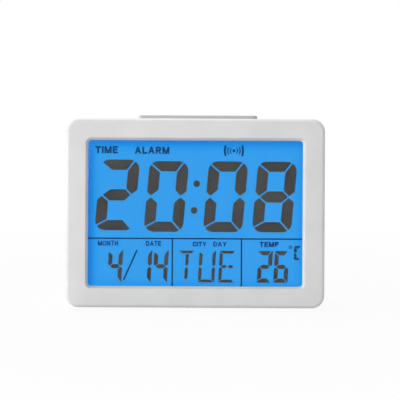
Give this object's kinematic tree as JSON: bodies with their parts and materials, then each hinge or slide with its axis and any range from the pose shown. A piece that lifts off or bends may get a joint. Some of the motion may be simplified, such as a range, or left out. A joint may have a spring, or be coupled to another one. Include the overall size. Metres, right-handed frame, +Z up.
{
  "type": "talking desk clock",
  "caption": "Leaning desk clock with a large blue-lit display in a bevelled window, a talk bar on the top edge, rear keys, a loudspeaker and a battery bay with a hinged door.",
  "frame": {"origin": "centre of the clock's footprint box on the surface it stands on", "axes": "+X to the right as the clock is read, +Y to the rear, +Z up; the face leans back 8 degrees"},
  "size_m": [0.1368, 0.0504, 0.1013],
  "materials": {
    "white_shell": "fine moulded texture",
    "talk_bar_grey": "satin moulded",
    "key_grey": "satin moulded",
    "clear_lens": "polished clear plate",
    "lcd_glass": "thin display glass",
    "polariser_film": "stretched film",
    "lcd_ink": "dark display figures",
    "lcd_rule_ink": "dark blue display rules",
    "edge_seal": "cured epoxy bead",
    "lit_diffuser": "milky film lit blue",
    "clear_acrylic": "polished edge-lit guide",
    "white_film": "white reflector film",
    "board_green": "solder mask on glass epoxy",
    "led_white": "phosphor in a white cup",
    "chassis_white": "plain moulded",
    "screw_steel": "zinc-plated screws",
    "elastomer_stripe": "striped conductive silicone",
    "black_resin": "cured epoxy resin",
    "chip_black": "moulded chip package",
    "can_aluminium": "drawn cans",
    "sensor_resin": "dipped bead",
    "foot_rubber": "moulded pads",
    "spring_wire": "nickel-plated wire",
    "contact_nickel": "nickel-plated strip",
    "switch_black": "moulded switch bodies",
    "plunger_grey": "moulded plungers",
    "basket_steel": "pressed and painted",
    "magnet_ferrite": "sintered ferrite",
    "yoke_steel": "zinc-plated plate",
    "cone_paper": "pressed paper",
    "surround_rubber": "thin rolled edge",
    "cell_sleeve": "plain sleeved dry cells",
    "wire_sleeve": "insulated wire",
    "ribbon_grey": "flat ribbon cable"
  },
  "bodies": {
    "case": {"front_bezel": "white_shell", "rear_cover": "white_shell", "display_lens": "clear_lens", "lcd_front_polariser": "polariser_film", "lcd_front_glass": "lcd_glass", "lcd_rear_glass": "lcd_glass", "lcd_rear_polariser": "polariser_film", "lcd_seal": "edge_seal", "lcd_time_digits": "lcd_ink", "lcd_lower_digits": "lcd_ink", "lcd_rules": "lcd_rule_ink", "backlight_diffuser": "lit_diffuser", "light_guide": "clear_acrylic", "backlight_reflector": "white_film", "backlight_board": "board_green", "backlight_leds": "led_white", "display_chassis": "chassis_white", "chassis_screws": "screw_steel", "contact_strip": "elastomer_stripe", "main_board": "board_green", "controller_blob": "black_resin", "voice_chip": "chip_black", "quartz_crystal": "can_aluminium", "capacitors": "can_aluminium", "temperature_sensor": "sensor_resin", "cover_screws": "screw_steel", "rubber_feet": "foot_rubber", "battery_cells": "cell_sleeve", "battery_contacts": "contact_nickel", "battery_springs": "spring_wire", "talk_bar_springs": "spring_wire", "talk_board": "board_green", "talk_switch": "switch_black", "key_board": "board_green", "key_switches": "switch_black", "alarm_switch_body": "switch_black", "board_screws": "screw_steel", "speaker_basket": "basket_steel", "speaker_magnet": "magnet_ferrite", "speaker_yoke": "yoke_steel", "speaker_surround": "surround_rubber", "speaker_screws": "screw_steel", "speaker_leads": "wire_sleeve", "battery_leads": "wire_sleeve", "board_ribbons": "ribbon_grey"},
    "talk_bar": {"talk_bar": "talk_bar_grey", "talk_switch_plunger": "plunger_grey"},
    "battery_door": {"battery_door": "white_shell"},
    "alarm_switch_knob": {"alarm_switch_knob": "key_grey"},
    "speaker_cone": {"speaker_cone": "cone_paper"},
    "mode_key": {"mode_key": "key_grey", "mode_key_plunger": "plunger_grey"},
    "set_key": {"set_key": "key_grey", "set_key_plunger": "plunger_grey"},
    "up_key": {"up_key": "key_grey", "up_key_plunger": "plunger_grey"},
    "down_key": {"down_key": "key_grey", "down_key_plunger": "plunger_grey"},
    "alarm_key": {"alarm_key": "key_grey", "alarm_key_plunger": "plunger_grey"}
  },
  "joints": [
    {"name": "talk_bar_press", "type": "slide", "parent": "case", "child": "talk_bar", "axis": [0, -0.1392, -0.9903], "range_m": [0, 0.001], "stiffness_N_per_m": 800, "springref_m": -0.001, "deforming": ["talk_bar_springs"]},
    {"name": "battery_door_swing", "type": "hinge", "parent": "case", "child": "battery_door", "pos_m": [-0.02705, 0.01316, 0.01576], "axis": [-1, 0, 0], "range_deg": [0, 90]},
    {"name": "alarm_switch_slide", "type": "slide", "parent": "case", "child": "alarm_switch_knob", "axis": [1, 0, 0], "range_m": [0, 0.004]},
    {"name": "speaker_cone_travel", "type": "slide", "parent": "case", "child": "speaker_cone", "axis": [0, 0.9903, -0.1392], "range_m": [-0.0004, 0.0004], "stiffness_N_per_m": 500, "deforming": ["speaker_surround"]},
    {"name": "mode_key_press", "type": "slide", "parent": "case", "child": "mode_key", "axis": [0, -0.9903, 0.1392], "range_m": [0, 0.0005], "stiffness_N_per_m": 2000, "springref_m": -0.0004},
    {"name": "set_key_press", "type": "slide", "parent": "case", "child": "set_key", "axis": [0, -0.9903, 0.1392], "range_m": [0, 0.0005], "stiffness_N_per_m": 2000, "springref_m": -0.0004},
    {"name": "up_key_press", "type": "slide", "parent": "case", "child": "up_key", "axis": [0, -0.9903, 0.1392], "range_m": [0, 0.0005], "stiffness_N_per_m": 2000, "springref_m": -0.0004},
    {"name": "down_key_press", "type": "slide", "parent": "case", "child": "down_key", "axis": [0, -0.9903, 0.1392], "range_m": [0, 0.0005], "stiffness_N_per_m": 2000, "springref_m": -0.0004},
    {"name": "alarm_key_press", "type": "slide", "parent": "case", "child": "alarm_key", "axis": [0, -0.9903, 0.1392], "range_m": [0, 0.0005], "stiffness_N_per_m": 2000, "springref_m": -0.0004}
  ]
}
